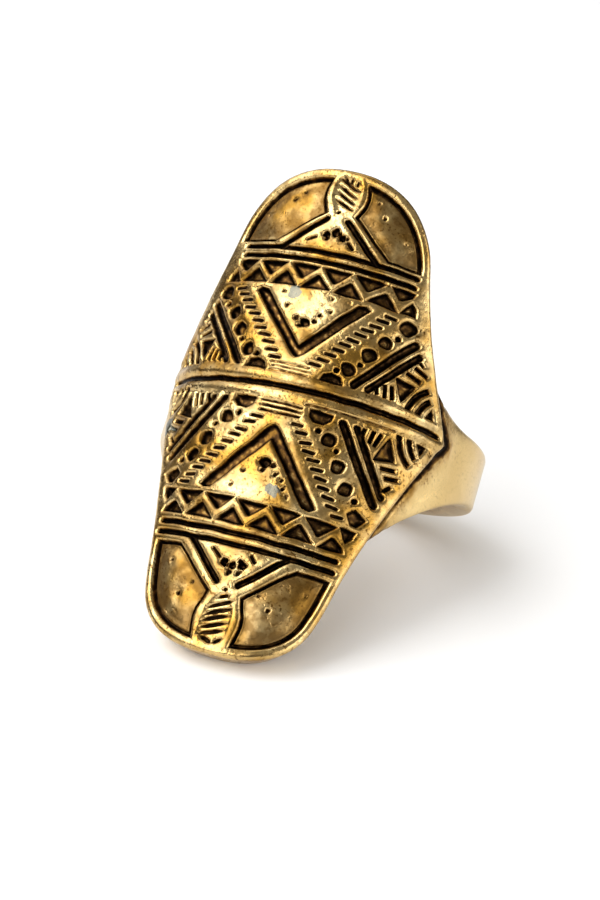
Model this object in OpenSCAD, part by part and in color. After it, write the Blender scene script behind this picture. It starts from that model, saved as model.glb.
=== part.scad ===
// One-piece cast shield ring: a long curved plate with geometric relief,
// standing proud of a plain band that tapers towards the back of the finger.
// Ring frame: the finger axis is Z through the origin and the plate faces -Y.
// The ring is then leaned back until it rests on the plate's lower tip
// and on the lower edge of the band's back, which lie on Z = 0.

/* [Finger hole] */
// Inside diameter of the band
hole_d = 18; // [16:0.1:22]

/* [Plate] */
// Thickness of the plate at the top of its relief
plate_t = 2; // [1.4:0.1:2.6]
// Half of the plate's width, at its two side corners
corner_x = 9.7; // [9.2:0.1:9.9]
// Height of the upper tip above the middle groove
upper_tip = 14.85; // [13.5:0.05:16]
// Depth of the lower tip below the middle groove
lower_tip = 17.3; // [16:0.1:19]
// Half of the width that the upper flanks run in towards
upper_waist_x = 6.15; // [5.8:0.05:6.4]
// Half of the width that the lower flanks run in towards
lower_waist_x = 5.9; // [5.7:0.05:6.2]

/* [Relief] */
// Depth of the main recesses
relief_depth = 0.45; // [0.2:0.05:0.6]
// Depth of the fine hatching
hatch_depth = 0.22; // [0.1:0.02:0.4]
// Height of the leaf bosses above the rest of the relief
leaf_rise = 0.12; // [0:0.02:0.3]
// Width of the middle groove
mid_groove_w = 0.32; // [0.2:0.02:0.5]
// Width of the slanted bar grooves
bar_w = 0.42; // [0.2:0.02:0.5]
// Width of the straight grooves across the plate
cross_groove_w = 0.27; // [0.2:0.01:0.35]
// Number of hatch strokes beside each arm of the V
hatch_count = 11; // [5:1:12]

/* [Band] */
// Thickness of the band at the back of the finger
band_t = 2; // [1.4:0.1:2.4]
// Radius of the shoulders, seen along the finger
shoulder_r = 10.8; // [10.5:0.05:10.9]
// Height of the band's upper edge above the middle groove
band_top = 1.65; // [1.2:0.05:2]
// Depth of the band's lower edge at the back
band_bottom = 1.55; // [1.2:0.05:2]

/* [Hidden] */
$fn = 96;
upper = 1;
lower = -1;
far = 40;
hole_r = hole_d / 2;
plate_r = hole_r + plate_t;
band_r = hole_r + band_t;

// Outline of the plate: flanks that sweep in from the corners, rounded ends
end_steps = 22;
flank_steps = 12;
flank_power = 1.4;
upper_reach = 13;
lower_reach = 14;
upper_end_y = 9.8;
lower_end_y = 12;
upper_end_power = 2.35;
lower_end_power = 2.3;

// Shoulders of the band, seen from the side: arcs below and above
lower_arc_r = 10.4;
lower_arc_y = 2.1;
lower_arc_z = -12.65;
upper_arc_r = 5.2;
upper_arc_y = -2.2;
shoulder_low_z = -9;
shoulder_high_z = 5.6;
shoulder_shift = 1;

// Heights of the relief's rows, for the upper half and the lower half
//             upper   lower
v_outer =     [1.90,   2.45];
v_inner =     [2.70,   3.50];
v_end =       [6.15,   7.15];
inner_line =  [0.95,   1.00];
zigzag_near = [6.70,   7.60];
zigzag_far =  [8.05,   9.10];
groove_a =    [8.45,   9.70];
groove_b =    [9.10,  10.45];
panel_base =  [9.45,  11.00];
arm_end =     [11.35, 12.90];
panel_neck =  [11.80, 13.55];
panel_tip =   [14.20, 16.45];
leaf_neck =   [11.60, 13.50];
leaf_mid =    [13.10, 15.30];
leaf_tip =    [14.45, 16.95];

// Round recesses between the V and the bars
//           x     upper  lower  radius
dots = [
            [3.45,  2.05,  2.55,  0.42],
            [4.42,  3.33,  4.05,  0.43],
            [5.14,  4.44,  5.26,  0.40],
            [6.20,  5.80,  6.75,  0.48]];
// Pips between the round recesses
pips = [
            [2.68,  1.75,  2.20,  0.14],
            [4.12,  2.62,  3.12,  0.13],
            [5.88,  4.88,  5.66,  0.14]];
// Slanted bar grooves: near end and far end
//           x     upper  lower  x     upper  lower
bars = [
            [3.95,  1.22,  1.35,  6.85,  5.00,  5.60],
            [4.85,  1.22,  1.35,  7.18,  4.32,  4.95]];
// Hatch strokes beside the V's arm: the first and the last one
//           x     upper  lower
hatch_first = [1.35, 1.77, 2.22];
hatch_last =  [5.10, 6.10, 7.08];
hatch_length = 0.75;
hatch_w = 0.15;

// Zigzag band
zigzag_pitch = 2.2;
zigzag_half = 0.95;
zigzag_height = 0.78;

// Corner field: arcs round the corner, a triangle and short strokes
//              x     upper  lower
fan_centre =   [9.20,  0.95,  0.80];
fan_radii = [1.95, 1.36];
fan_w = 0.28;
fan_start = 0;
fan_end = 56;
corner_triangle = [
            [6.14,  2.62,  2.86],
            [7.38,  2.44,  2.58],
            [6.78,  1.16,  1.20]];
corner_tip = [
            [8.30,  0.98,  0.88],
            [8.75,  0.98,  0.88],
            [8.52,  1.58,  1.52]];
//           x     upper  lower  x     upper  lower
corner_strokes = [
            [6.72,  3.14,  3.20,  7.55,  2.84,  3.05],
            [7.08,  3.62,  3.72,  7.80,  3.30,  3.55],
            [7.20,  4.10,  4.55,  7.50,  3.86,  4.15],
            [5.22,  1.68,  1.72,  5.34,  1.12,  1.15],
            [5.68,  1.88,  1.95,  5.86,  1.12,  1.15],
            [6.05,  1.95,  2.05,  6.30,  1.12,  1.15]];
stroke_w = 0.22;

// Cap of each end: arm grooves, small triangle, leaf hatching
arm_groove_w = 0.36;
arm_groove_x = 0.75;
arm_corner_x = 3.25;
panel_x = 5.62;
panel_end_y = [9.5, 11.6];
panel_arm_x = 3.85;
panel_neck_x = 1.15;
leaf_hatch_count = 6;
leaf_hatch_w = 0.16;
leaf_hatch_tilt = 16;

function row(v, half) = half > 0 ? v[0] : -v[1];
function place(p, half) = [p[0], half > 0 ? p[1] : -p[2]];
function stroke_from(s, half) = [s[0], half > 0 ? s[1] : -s[2]];
function stroke_to(s, half) = [s[3], half > 0 ? s[4] : -s[5]];
function mix(a, b, t) = a + (b - a) * t;

// The flank runs in from the corner towards the waist, and from end_y on
// it is rounded off to the tip like an ellipse made a little fuller
function flank_x(y, waist_x, reach) =
    waist_x + (corner_x - waist_x) * pow(max(0, 1 - y / reach), flank_power);
function rounding(t, power) = pow(max(0, 1 - pow(t, power)), 1 / power);
function half_outline(waist_x, reach, end_y, tip, power) = concat(
    [for (i = [0:flank_steps - 1]) let (y = end_y * i / flank_steps) [flank_x(y, waist_x, reach), y]],
    [for (i = [0:end_steps]) let (t = pow(sin(90 * i / end_steps), 2 / power), y = mix(end_y, tip, t))
        [flank_x(y, waist_x, reach) * rounding(t, power), y]]);
upper_half = half_outline(upper_waist_x, upper_reach, upper_end_y, upper_tip, upper_end_power);
lower_half = half_outline(lower_waist_x, lower_reach, lower_end_y, lower_tip, lower_end_power);
right_side = concat(
    [for (i = [len(lower_half) - 1:-1:1]) [lower_half[i][0], -lower_half[i][1]]],
    upper_half);

// The plate's side walls point at the finger axis. Its blank is a curved slab
// with a row of points for each height of the outline, and these columns across
slab_columns = 4;
slab_outer_r = plate_r * 1.15;
slab_inner_r = hole_r * 0.8;
slab_least_x = 0.3;

// Rest: both contact points come down to Z = 0, the box is centred in Y
lean = atan((lower_tip - band_bottom) / (hole_r + band_r));
floor_drop = lower_tip * cos(lean) - hole_r * sin(lean);
front_y = -plate_r * cos(lean) - lower_tip * sin(lean);
back_y = band_r * cos(lean) + band_top * sin(lean);

module both_sides() {
    children();
    mirror([1, 0, 0]) children();
}

// A flat drawing of the plate's front, carried through the plate along Y
module through_front(from_r) {
    intersection() {
        rotate([90, 0, 0]) linear_extrude(far) children();
        difference() {
            cylinder(r = far, h = 2 * far, center = true, $fn = 180);
            cylinder(r = from_r, h = 3 * far, center = true, $fn = 180);
        }
    }
}

// A straight stroke with square ends
module stroke(a, b, w) {
    d = (b - a) / norm(b - a);
    n = [-d[1], d[0]] * w / 2;
    polygon([a + n, a - n, b - n, b + n]);
}

// A straight groove with round ends
module slot(a, b, w) {
    stroke(a, b, w);
    translate(a) circle(d = w, $fn = 24);
    translate(b) circle(d = w, $fn = 24);
}

// The V groove round the smooth raised triangle
module v_groove(half) {
    rise = row(v_end, half) - row(v_outer, half);
    polygon([
        [0, row(v_outer, half)], [3.85, row(v_outer, half) + rise * 0.98],
        [3.55, row(v_end, half) + half * 0.1], [3.05, row(v_end, half)],
        [0, row(v_inner, half)],
        [-3.05, row(v_end, half)], [-3.55, row(v_end, half) + half * 0.1],
        [-3.85, row(v_outer, half) + rise * 0.98]]);
}

// Round recesses, the half round one by the middle ridge, and the pips
module dot_row(half) {
    for (d = dots) translate(place(d, half)) circle(r = d[3], $fn = 24);
    for (p = pips) translate(place(p, half)) circle(r = p[3], $fn = 16);
    intersection() {
        translate([2.52, row(inner_line, half)]) circle(r = 0.72, $fn = 32);
        translate([1.7, min(row(inner_line, half), row(inner_line, half) + half * 0.55)])
            square([1.64, 0.55]);
    }
}

module slanted_bars(half) {
    for (b = bars) slot(stroke_from(b, half), stroke_to(b, half), bar_w);
}

// Arcs round the side corner, a triangle, and short strokes
module corner_field(half) {
    steps = 8;
    centre = place(fan_centre, half);
    for (i = [0:len(fan_radii) - 1]) {
        r = fan_radii[i];
        angles = [for (k = [0:steps]) mix(fan_start, fan_end - 6 * i, k / steps)];
        polygon(concat(
            [for (a = angles) centre + (r + fan_w / 2) * [-cos(a), half * sin(a)]],
            [for (k = [steps:-1:0])
                centre + (r - fan_w / 2) * [-cos(angles[k]), half * sin(angles[k])]]));
    }
    polygon([for (p = corner_triangle) place(p, half)]);
    polygon([for (p = corner_tip) place(p, half)]);
    for (s = corner_strokes) stroke(stroke_from(s, half), stroke_to(s, half), stroke_w);
}

// Two rows of triangles that leave a zigzag ridge between them
module zigzag(half) {
    near_y = row(zigzag_near, half);
    far_y = row(zigzag_far, half);
    for (i = [0:2]) translate([i * zigzag_pitch, near_y])
        polygon([[-zigzag_half, 0], [zigzag_half, 0], [0, half * zigzag_height]]);
    for (i = [0:1]) translate([(i + 0.5) * zigzag_pitch, far_y])
        polygon([[-zigzag_half, 0], [zigzag_half, 0], [0, -half * zigzag_height]]);
    translate([2.4 * zigzag_pitch, far_y])
        polygon([[-0.75, 0], [0.62, 0], [0.6, -half * 0.2], [0, -half * zigzag_height]]);
    translate([5.88, near_y])
        polygon([[-0.42, 0], [0.42, 0], [0.42, half * 0.42], [0.16, half * 0.8]]);
}

// The two grooves across the plate
module cross_grooves(half) {
    slot([-5.85, row(groove_a, half)], [5.85, row(groove_a, half)], cross_groove_w);
    slot([-5.7, row(groove_b, half)], [5.7, row(groove_b, half)], cross_groove_w);
}

// The grooves beside the arms that run from the leaf to the panels
module arm_groove(half) {
    slot([arm_corner_x, row(groove_b, half)], [arm_groove_x, row(arm_end, half)], arm_groove_w);
}

// A recessed panel between the rim, the leaf and the arm
module panel(half) {
    steps = 12;
    end_y = half * row(panel_end_y, half);
    start_angle = half > 0 ? 1 : -2;
    tip_r = half > 0 ? 4.9 : 5.1;
    stop_angle = 76;
    polygon(concat(
        [[panel_arm_x, row(panel_base, half)], [panel_x - 0.12, row(panel_base, half)]],
        [for (k = [0:steps]) let (a = mix(start_angle + 6, stop_angle, k / steps))
            [panel_x * cos(a), half * (end_y + tip_r * sin(a))]],
        [[panel_neck_x + 0.32, mix(row(panel_neck, half), row(panel_tip, half), 0.5)],
         [panel_neck_x, row(panel_neck, half)]]));
}

// The leaf boss between the two panels
module leaf(half) {
    polygon([
        [0.72, row(leaf_neck, half)], [0.98, mix(row(leaf_neck, half), row(leaf_mid, half), 0.5)],
        [1.12, row(leaf_mid, half)], [1.02, mix(row(leaf_mid, half), row(leaf_tip, half), 0.55)],
        [0.74, row(leaf_tip, half)],
        [-0.74, row(leaf_tip, half)], [-1.02, mix(row(leaf_mid, half), row(leaf_tip, half), 0.55)],
        [-1.12, row(leaf_mid, half)], [-0.98, mix(row(leaf_neck, half), row(leaf_mid, half), 0.5)],
        [-0.72, row(leaf_neck, half)]]);
}

module leaf_hatching(half) {
    reach = 0.62;
    for (i = [0:leaf_hatch_count - 1]) {
        y = mix(row(leaf_neck, half), row(leaf_tip, half), (i + 1.1) / (leaf_hatch_count + 0.8));
        dy = half * reach * tan(leaf_hatch_tilt);
        stroke([-reach, y + dy], [reach, y - dy], leaf_hatch_w);
    }
}

// Short strokes along the V's arm
module arm_hatching(half) {
    for (i = [0:hatch_count - 1]) {
        c = mix(place(hatch_first, half), place(hatch_last, half), i / (hatch_count - 1));
        stroke(c - [hatch_length / 2, 0], c + [hatch_length / 2, 0], hatch_w);
    }
}

module half_recesses(half) {
    v_groove(half);
    cross_grooves(half);
    both_sides() {
        dot_row(half);
        slanted_bars(half);
        corner_field(half);
        zigzag(half);
        arm_groove(half);
        panel(half);
    }
}

// Two lines above the middle ridge, and the two lines of the oblong below it
module middle_lines() {
    stroke([-1.3, 1.42], [1.2, 1.42], hatch_w);
    stroke([-1.2, 0.98], [1.15, 0.98], hatch_w);
    stroke([-1.2, -1.18], [1.3, -1.18], 0.26);
    stroke([-1.2, -1.68], [1.3, -1.68], 0.26);
}

// Corner number of the slab: height row i, column j, outer or inner face
function slab_index(i, j, inner) = 2 * (i * (slab_columns + 1) + j) + inner;
function slab_quad(a, b, c, d) = [[a, b, c], [a, c, d]];

module plate_slab() {
    rows = len(right_side);
    points = [for (p = right_side) for (j = [0:slab_columns]) for (r = [slab_outer_r, slab_inner_r])
        let (a = asin(max(p[0], slab_least_x) / plate_r) * (2 * j / slab_columns - 1))
        [r * sin(a), -r * cos(a), p[1]]];
    faces_and_backs = [for (i = [0:rows - 2]) for (j = [0:slab_columns - 1]) each concat(
        slab_quad(slab_index(i, j, 0), slab_index(i + 1, j, 0),
                  slab_index(i + 1, j + 1, 0), slab_index(i, j + 1, 0)),
        slab_quad(slab_index(i, j, 1), slab_index(i, j + 1, 1),
                  slab_index(i + 1, j + 1, 1), slab_index(i + 1, j, 1)))];
    side_walls = [for (i = [0:rows - 2]) let (j = slab_columns) each concat(
        slab_quad(slab_index(i, 0, 1), slab_index(i + 1, 0, 1),
                  slab_index(i + 1, 0, 0), slab_index(i, 0, 0)),
        slab_quad(slab_index(i, j, 0), slab_index(i + 1, j, 0),
                  slab_index(i + 1, j, 1), slab_index(i, j, 1)))];
    end_walls = [for (j = [0:slab_columns - 1]) let (i = rows - 1) each concat(
        slab_quad(slab_index(i, j, 0), slab_index(i, j, 1),
                  slab_index(i, j + 1, 1), slab_index(i, j + 1, 0)),
        slab_quad(slab_index(0, j, 0), slab_index(0, j + 1, 0),
                  slab_index(0, j + 1, 1), slab_index(0, j, 1)))];
    polyhedron(points, concat(faces_and_backs, side_walls, end_walls));
}

module plate_blank() {
    intersection() {
        plate_slab();
        cylinder(r = plate_r, h = 2 * far, center = true, $fn = 180);
    }
}

module leaf_bosses() {
    difference() {
        intersection() {
            through_front(plate_r - relief_depth) {
                leaf(upper);
                leaf(lower);
            }
            cylinder(r = plate_r + leaf_rise, h = 2 * far, center = true, $fn = 180);
        }
        through_front(plate_r + leaf_rise - hatch_depth) {
            leaf_hatching(upper);
            leaf_hatching(lower);
        }
    }
}

module plate() {
    difference() {
        plate_blank();
        through_front(plate_r - relief_depth) {
            square([2 * (corner_x - 0.6), mid_groove_w], center = true);
            half_recesses(upper);
            half_recesses(lower);
        }
        through_front(plate_r - hatch_depth) {
            both_sides() {
                arm_hatching(upper);
                arm_hatching(lower);
            }
            middle_lines();
            leaf_hatching(upper);
            leaf_hatching(lower);
        }
    }
}

// The band from the side: two shoulder arcs and two straight edges
module band_side() {
    difference() {
        polygon([
            [-band_r, shoulder_high_z], [upper_arc_y, shoulder_high_z],
            [upper_arc_y, band_top], [band_r + 1, band_top],
            [band_r + 1, -band_bottom], [band_r, -band_bottom],
            [lower_arc_y, lower_arc_z + lower_arc_r],
            [lower_arc_y, shoulder_low_z], [-band_r, shoulder_low_z]]);
        translate([upper_arc_y, band_top + upper_arc_r]) circle(r = upper_arc_r, $fn = 120);
        translate([lower_arc_y, lower_arc_z]) circle(r = lower_arc_r, $fn = 180);
    }
}

module band() {
    intersection() {
        cylinder(r = band_r, h = 2 * far, center = true, $fn = 180);
        translate([0, shoulder_shift, 0])
            cylinder(r = shoulder_r, h = 2 * far, center = true, $fn = 180);
        rotate([90, 0, 90]) linear_extrude(2 * far, center = true) band_side();
    }
}

module ring() {
    color("goldenrod")
    translate([0, -(front_y + back_y) / 2, floor_drop])
    rotate([-lean, 0, 0])
    difference() {
        union() {
            plate();
            leaf_bosses();
            band();
        }
        cylinder(r = hole_r, h = 3 * far, center = true, $fn = 180);
    }
}

ring();
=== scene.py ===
import math
import random

import bpy
import numpy as np
from mathutils import Euler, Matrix
from mathutils.geometry import delaunay_2d_cdt


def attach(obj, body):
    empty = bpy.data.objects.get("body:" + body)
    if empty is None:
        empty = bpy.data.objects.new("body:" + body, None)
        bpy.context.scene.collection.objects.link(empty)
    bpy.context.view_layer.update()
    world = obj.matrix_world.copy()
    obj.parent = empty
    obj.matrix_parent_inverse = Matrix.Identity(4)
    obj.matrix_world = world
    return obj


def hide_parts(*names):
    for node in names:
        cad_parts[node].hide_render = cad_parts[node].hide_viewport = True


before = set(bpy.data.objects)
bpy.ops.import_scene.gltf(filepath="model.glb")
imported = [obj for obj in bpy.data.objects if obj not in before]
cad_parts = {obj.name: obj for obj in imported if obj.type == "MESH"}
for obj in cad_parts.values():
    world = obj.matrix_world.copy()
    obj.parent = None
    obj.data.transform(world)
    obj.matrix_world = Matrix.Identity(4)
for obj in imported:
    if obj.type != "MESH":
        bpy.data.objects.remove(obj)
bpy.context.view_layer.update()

# Lengths are millimetres until the wrap, which ends in metres.
# "Plan" is the plate seen flat from the front; u runs round the finger, v along it.
ringSize = {
    "faceRadius": 11.0, "holeRadius": 9.0,
    "bendLimit": 10.9,  # the widest plan x that can still be laid round the face
    "holeEdge": ((0.0, 0.16), (0.02, 0.08), (0.06, 0.03), (0.14, 0.0)),  # its rounding: inset and rise
}
plateShape = {
    "cornerX": 9.7, "flankPower": 1.4,
    # The flanks run in towards the waist, and each cap sits a little to one side
    "upper": {"waistX": 6.15, "reach": 13.0, "capY": 9.8, "tip": 14.85, "capPower": 2.35, "drift": -0.24},
    "lower": {"waistX": 5.9, "reach": 14.0, "capY": 12.0, "tip": 17.3, "capPower": 2.55, "drift": 0.04},
    "driftRun": 6.0,  # the height over which that drift grows
    # The face falls short of its circle towards the side corners
    "cornerDrop": {"depth": 0.2, "start": 8.2, "run": 3.4, "power": 1.5},
    # The edge is rounded by one radius at the side corners and by the other at the caps
    "edgeRound": (0.28, 0.32), "capEdge": {"middle": -1.1, "start": 7.5, "run": 2.5},
    "stepWidth": 0.06,  # the steep step from the plate down to the band
}
bandShape = {
    "shoulderRadius": 10.8, "shoulderShift": 1.0, "backRadius": 11.0,
    "blend": 0.12, "lift": 0.01,  # softens the change of circle, and makes up for what that takes off
    "top": 1.65, "topArcRadius": 5.2, "topArcY": -2.2, "topArcShare": 0.985,
    "backLow": -1.55, "lowArcRadius": 10.4, "lowArcY": 2.1, "lowArcZ": -12.65, "lowArcShare": 0.94,
    "edgeRound": 0.34,
    "swell": 0.35, "swellWidth": 0.9,  # the band rises a little towards the plate
    # Then a crease follows the plate's foot, with a dark strip beside it, partly oxide and partly painted
    # shade, narrower away from the corners
    "creaseOxideAndShadeWidth": (0.5, 0.3), "creaseOxideAndShadeSpan": (2.5, 5.5), "creaseDepth": 0.16, "creaseSoft": 0.16,
    "creaseEdge": 0.4,
}
cutNames = ("deep", "fine", "leaf", "plateau")
cutShape = {
    # Beside each cut the face rolls over like a cord, then a steep wall runs down to the floor
    "deep": {"depth": -0.47, "rings": (-0.3, -0.16, -0.08, -0.02, 0.03, 0.09, 0.16, 0.28),
             "profile": (0, 0.04, 0.11, 0.3, 0.66, 0.92, 1.0, 1.03),
             "oxide": (0, 0, 0, 0.25, 0.95, 1.0, 0.85, 0.52)},
    "fine": {"depth": -0.2, "rings": (-0.12, -0.05, 0.0, 0.06),
             "profile": (0, 0.12, 0.45, 1), "oxide": (0, 0, 0.5, 1.0)},
    # A leaf lies a little lower than the broad border round it
    "leaf": {"depth": -0.1, "rings": (-0.08, 0.02, 0.12, 0.26), "profile": (0, 0.3, 0.85, 1)},
    # The rough fields beside the leaves rise from their moats, and hold less oxide the higher they are
    "plateau": {"depth": 0.34, "rings": (0.0, 0.05, 0.11, 0.2, 0.5, 1.0),
                "profile": (0, 0.5, 0.63, 0.58, 0.84, 1), "oxidePower": 1.3},
    "rimWidth": 0.66, "moatWidth": 0.2, "innerMoat": 0.12,
    "wobble": {"size": 0.024, "wavelength": 2.0, "seeds": (11, 12)},  # how the hand-cut edges wander
    "lean": {"shift": 0.2, "middle": 6.0, "spread": 2.6},  # the upper zigzag and V sit a little to the left
    "seed": 7,
}
# Unevenness of the cast face: depth, wavelength and seed
faceShape = {
    "dents": ((0.009, 1.5, 21), (0.005, 0.8, 22)), "swells": (0.009, 1.2, 23),
    # Two soft ridges run beside the middle groove
    "ridges": {"slope": 0.02, "away": 0.55, "halfWidth": 0.35, "reach": 1.1, "depth": 0.09,
               "lines": (-0.8, -0.55, -0.34, 0.36, 0.57, 0.8), "lineReach": 10.4, "lineStep": 0.4},
}
# Relief drawing in plan. In a pair or a row, the upper half's y comes first and the lower half's second
reliefPlan = {
    "heights": {
        "ridgeHole": (0.95, -1.02), "vOuter": (1.80, -2.35), "vInner": (2.75, -3.50), "vEnd": (6.15, -7.15),
        "zigzagNear": (6.62, -7.60), "zigzagFar": (8.10, -9.14),
        "nearGroove": (8.45, -9.72), "farGroove": (9.08, -10.45), "panelBase": (9.42, -11.02),
        "armEnd": (11.35, -12.85), "leafNeck": (11.75, -13.5), "leafMid": (13.15, -15.3),
        "leafTip": (14.5, -16.9), "beyond": (19, -19),
    },
    "vBend": [(0, 0.2), (0.18, 0.26), (0.42, 0.47)],  # x, and how far past the V's outer height
    "vFoot": (3.85, 3.55, 3.05), "vFootShare": 0.98, "vFootRound": 0.1,
    "grooveReach": 5.8, "grooveWidth": 0.27, "grooveWander": 0.03,
    "tooth": {"halfBase": 0.97, "halfTip": 0.07, "height": 0.89},
    "nearTeeth": {"count": 5, "reach": 4.4}, "farTeeth": {"count": 4, "reach": 3.3},
    "nearEnd": [(5.5, 0), (6.42, 0), (6.3, 0.5), (6.02, 0.82)],  # the half teeth at the ends: x and rise
    "farEnd": [(4.55, 0), (6.02, 0), (5.9, -0.35), (5.38, -0.72), (5.2, -0.72)],
    "dots": [(3.42, 2.05, -2.55, 0.42), (4.42, 3.33, -4.06, 0.43), (5.14, 4.44, -5.26, 0.4)],
    "pips": [(2.68, 1.78, -2.20, 0.16), (4.05, 2.62, -3.15, 0.13), (5.85, 4.92, -5.75, 0.15)],
    "upperOuterDot": (6.22, 5.8, 0.46),
    "lowerOuterHole": [(5.68, -6.6), (6.05, -6.28), (6.75, -6.72), (6.35, -7.25), (6.0, -7.22)],
    "ridgeHoles": ([(1.82, 0), (2.0, 0.42), (2.5, 0.58), (3.05, 0.45), (3.28, 0)],
                   [(1.82, 0), (1.92, -0.5), (2.25, -0.75), (2.9, -0.75), (3.22, -0.42), (3.28, 0)]),
    "nudge": 0.05,  # how far a hole strays from its place
    # x and both ys of each end, then the width; the wide ones have round ends
    "slots": [(3.95, 1.22, -1.35, 6.85, 5.00, -5.60, 0.44), (4.85, 1.22, -1.35, 7.18, 4.32, -4.95, 0.40),
              (6.72, 3.14, -3.20, 7.55, 2.84, -3.05, 0.2), (7.08, 3.62, -3.72, 7.8, 3.30, -3.55, 0.2),
              (7.20, 4.10, -4.55, 7.5, 3.86, -4.15, 0.2), (5.22, 1.68, -1.72, 5.34, 1.12, -1.15, 0.2),
              (5.68, 1.88, -1.95, 5.86, 1.12, -1.15, 0.2), (6.05, 1.95, -2.05, 6.30, 1.12, -1.15, 0.2)],
    "roundFrom": 0.3,
    "cornerTriangle": [(6.14, 2.62, -2.86), (7.38, 2.44, -2.58), (6.78, 1.16, -1.2)],
    "cornerTip": [(8.25, 0.96, -0.86), (8.8, 0.96, -0.86), (8.52, 1.62, -1.56)],
    "fan": {"centre": (9.2, 0.95, -0.80), "radii": (1.95, 1.36), "width": 0.29, "degrees": (56, 50)},
    "hatch": {"halfLength": 0.3, "width": 0.2, "count": 11, "first": (1.35, 1.77, -2.22),
              "last": (5.1, 6.1, -7.08), "wander": 0.04, "turn": 0.08},
    "arm": {"x": (3.25, 0.72), "width": 0.34},
    "panelX": (3.85, 7.5),
    # The panel's edge beside the leaf: x, the height that it is measured from, and how far past it
    "leafBorder": [(0.95, "beyond", 0), (1.1, "leafTip", 0.1), (1.32, "leafTip", -0.5),
                   (1.49, "panelMid", 0.35), (1.52, "panelMid", 0), (1.45, "panelMid", -0.5),
                   (1.28, "panelMid", -0.95), (1.08, "leafNeck", 0)],
    "upperLeftSlim": 0.24,  # the upper leaf's border is narrower on its left
    "leafEdge": [(0.25, "leafNeck", 0), (0.6, "leafNeck", 0.4), (0.86, "leafLow", 0.2), (0.95, "leafMid", 0),
                 (0.9, "leafHigh", 0), (0.6, "leafTip", -0.25)],
    "leafShift": (0.13, 0),
    # Strokes of the graver in a leaf: those of the row, then single ones, each x0, y0, x1, y1 and width
    "leafMarks": (
        {"stroke": (-0.72, 0.35, 0.72, -0.35, 0.18), "count": 4, "first": (0.1, 12.45), "last": (0.16, 13.8),
         "wander": 0.02, "turn": 0.05, "dot": (-0.1, 11.85, 0.12),
         "single": [(-0.3, 14.35, -0.05, 13.95, 0.16), (0.2, 14.3, 0.15, 13.85, 0.16),
                    (0.6, 14.15, 0.62, 13.75, 0.14)]},
        {"stroke": (-0.82, -0.35, 0.82, 0.35, 0.23), "count": 5, "first": (-0.02, -14.2),
         "last": (-0.08, -15.95), "wander": 0.03, "turn": 0.08, "dot": (0.05, -13.25, 0.12),
         "single": [(-0.35, -13.85, 0.45, -13.55, 0.2), (-0.72, -16.3, 0.1, -16.72, 0.24),
                    (0.1, -16.7, 0.62, -16.2, 0.2)]},
    ),
    "middleGroove": (-9.1, -0.17, 9.15, 0.2, 0.3),
    "middleLines": [(-1.5, 1.45, 1.05, 1.42, 0.1), (-1.3, 1.2, 1.2, 1.16, 0.08),
                    (-1.45, 0.97, 1.0, 0.94, 0.1), (-1.2, -1.1, 1.35, -1.12, 0.15),
                    (-1.25, -1.42, 1.4, -1.45, 0.15), (-1.2, -1.76, 1.3, -1.76, 0.15),
                    (1.5, -0.8, 6.9, -0.68, 0.07)],
    # Casting flaws in the smooth places: x, y and radius, and those over "deepPit" are deep
    "pits": (
        [(0, 4.3, 0.3), (-0.6, 4.5, 0.16), (0.6, 4.5, 0.15), (0.85, 4.95, 0.12), (1.5, 5.3, 0.1),
         (-1.4, 5.2, 0.1), (-1.9, 6.05, 0.08), (1.4, 6.1, 0.09), (2.5, 6.15, 0.08),
         (-0.42, 10.3, 0.23), (0.12, 10.55, 0.28), (0.66, 10.25, 0.22)],
        [(0.05, -5.0, 0.32), (0.6, -5.1, 0.17), (0.9, -5.65, 0.13), (1.4, -5.9, 0.11), (1.65, -6.4, 0.12),
         (2.0, -6.75, 0.1), (-1.1, -5.85, 0.1), (-1.7, -6.85, 0.08), (-0.62, -11.6, 0.22),
         (0.0, -11.75, 0.22), (0.6, -11.6, 0.24), (-0.1, -12.2, 0.17), (0.5, -12.15, 0.15)]),
    "deepPit": 0.2,
    "pitShape": (16, 0.08), "chipShape": (12, 0.08), "panelPitShape": (10, 0.15),  # corners, roughness
    "chipAway": (1.1, 1.6), "chipShare": 0.5,  # each pit has a chip beside it, measured by its radius
    "slashes": ([(-1.5, 9.75, -1.05, 10.0), (1.1, 10.0, 1.5, 9.6)],
                [(-1.5, -10.95, -0.95, -11.4), (1.0, -10.9, 1.3, -11.25)]),
    "slashWidth": 0.18,
    "panelPits": [(3.3, 12.3, -14.2, 0.13), (2.3, 12.9, -13.2, 0.09), (4.5, 11.0, -12.3, 0.08)],
    "panelPitStray": (0.5, 0.4),
    "bareSpots": [(-1.3, 6.1, 0.42), (1.05, -6.6, 0.4), (-8.0, -3.4, 0.5)],  # where the plating has gone grey
}
dice = random.Random(cutShape["seed"])
seamU = math.pi * ringSize["faceRadius"]


def restingPlace():  # on the plate's lower tip and the band's back lower edge, its box centred in y
    face, hole, tip = ringSize["faceRadius"], ringSize["holeRadius"], plateShape["lower"]["tip"]
    lean = math.atan((tip + bandShape["backLow"]) / (face + hole))
    s, c = math.sin(lean), math.cos(lean)
    front = -face * c - tip * s
    back = face * c + bandShape["top"] * s
    return lean, (0.0, -(front + back) / 2, tip * c - hole * s)


def half(pair, side):
    return pair[0] if side > 0 else pair[1]


def mirrored(points):  # adds the other side to an outline given on one side of the middle line
    return points + [(-x, y) for x, y in reversed(points) if x]


def halfWidth(shape, y):
    spread = plateShape["cornerX"] - shape["waistX"]
    flank = shape["waistX"] + spread * max(0.0, 1 - y / shape["reach"]) ** plateShape["flankPower"]
    over = max(0.0, y - shape["capY"]) / (shape["tip"] - shape["capY"])
    return flank * max(0.0, 1 - over ** shape["capPower"]) ** (1 / shape["capPower"])


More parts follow.
